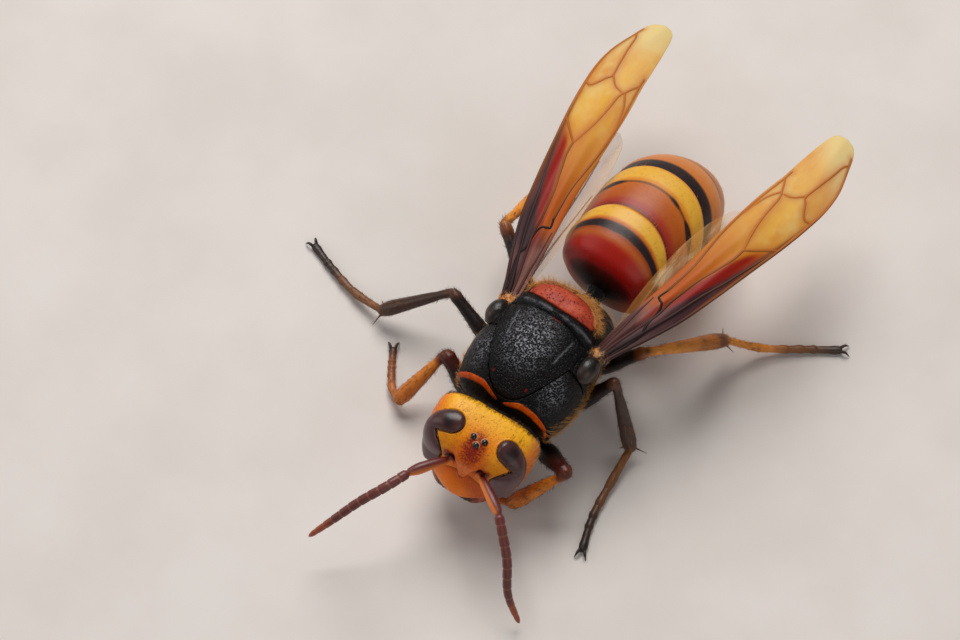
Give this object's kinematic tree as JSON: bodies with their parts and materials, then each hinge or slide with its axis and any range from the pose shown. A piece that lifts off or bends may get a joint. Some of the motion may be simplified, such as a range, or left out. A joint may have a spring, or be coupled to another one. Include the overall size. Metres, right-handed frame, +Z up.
{
  "type": "asian giant hornet",
  "caption": "Still, life-size model of an Asian giant hornet standing on six bent legs, wings folded back along its sides, feelers forward.",
  "frame": {"origin": "on the floor under the middle of the whole model's box", "axes": "+Z up, -Y the way the head looks, +X to the hornet's left"},
  "size_m": [0.0462, 0.0558, 0.0133],
  "materials": {
    "head_shell": "satin orange shell with fine pits",
    "eye": "glossy dark brown",
    "jaw": "satin orange to dark brown",
    "feeler": "satin red-brown",
    "black_shell": "satin black shell with fine pits",
    "red_shell": "satin red-orange shell",
    "band": "satin banded shell, orange, yellow and dark brown",
    "wing": "translucent amber membrane with darker veins",
    "leg": "satin brown shell"
  },
  "bodies": {
    "root": {"antenna_l_flagellum": "feeler", "antenna_l_scape": "feeler", "antenna_r_flagellum": "feeler", "antenna_r_scape": "feeler", "eye_l": "eye", "eye_r": "eye", "forewing_l": "wing", "forewing_r": "wing", "gaster_1": "band", "gaster_2": "band", "gaster_3": "band", "gaster_4": "band", "gaster_5": "band", "gaster_6": "band", "head": "head_shell", "hindwing_l": "wing", "hindwing_r": "wing", "leg_fore_l_coxa": "leg", "leg_fore_l_femur": "leg", "leg_fore_l_tarsus": "leg", "leg_fore_l_tibia": "leg", "leg_fore_r_coxa": "leg", "leg_fore_r_femur": "leg", "leg_fore_r_tarsus": "leg", "leg_fore_r_tibia": "leg", "leg_hind_l_coxa": "leg", "leg_hind_l_femur": "leg", "leg_hind_l_tarsus": "leg", "leg_hind_l_tibia": "leg", "leg_hind_r_coxa": "leg", "leg_hind_r_femur": "leg", "leg_hind_r_tarsus": "leg", "leg_hind_r_tibia": "leg", "leg_mid_l_coxa": "leg", "leg_mid_l_femur": "leg", "leg_mid_l_tarsus": "leg", "leg_mid_l_tibia": "leg", "leg_mid_r_coxa": "leg", "leg_mid_r_femur": "leg", "leg_mid_r_tarsus": "leg", "leg_mid_r_tibia": "leg", "mandible_l": "jaw", "mandible_r": "jaw", "mesothorax": "black_shell", "neck": "black_shell", "petiole": "black_shell", "pronotum": "black_shell", "propodeum": "black_shell", "scutellum": "red_shell", "tegula_l": "black_shell", "tegula_r": "black_shell"}
  },
  "joints": []
}
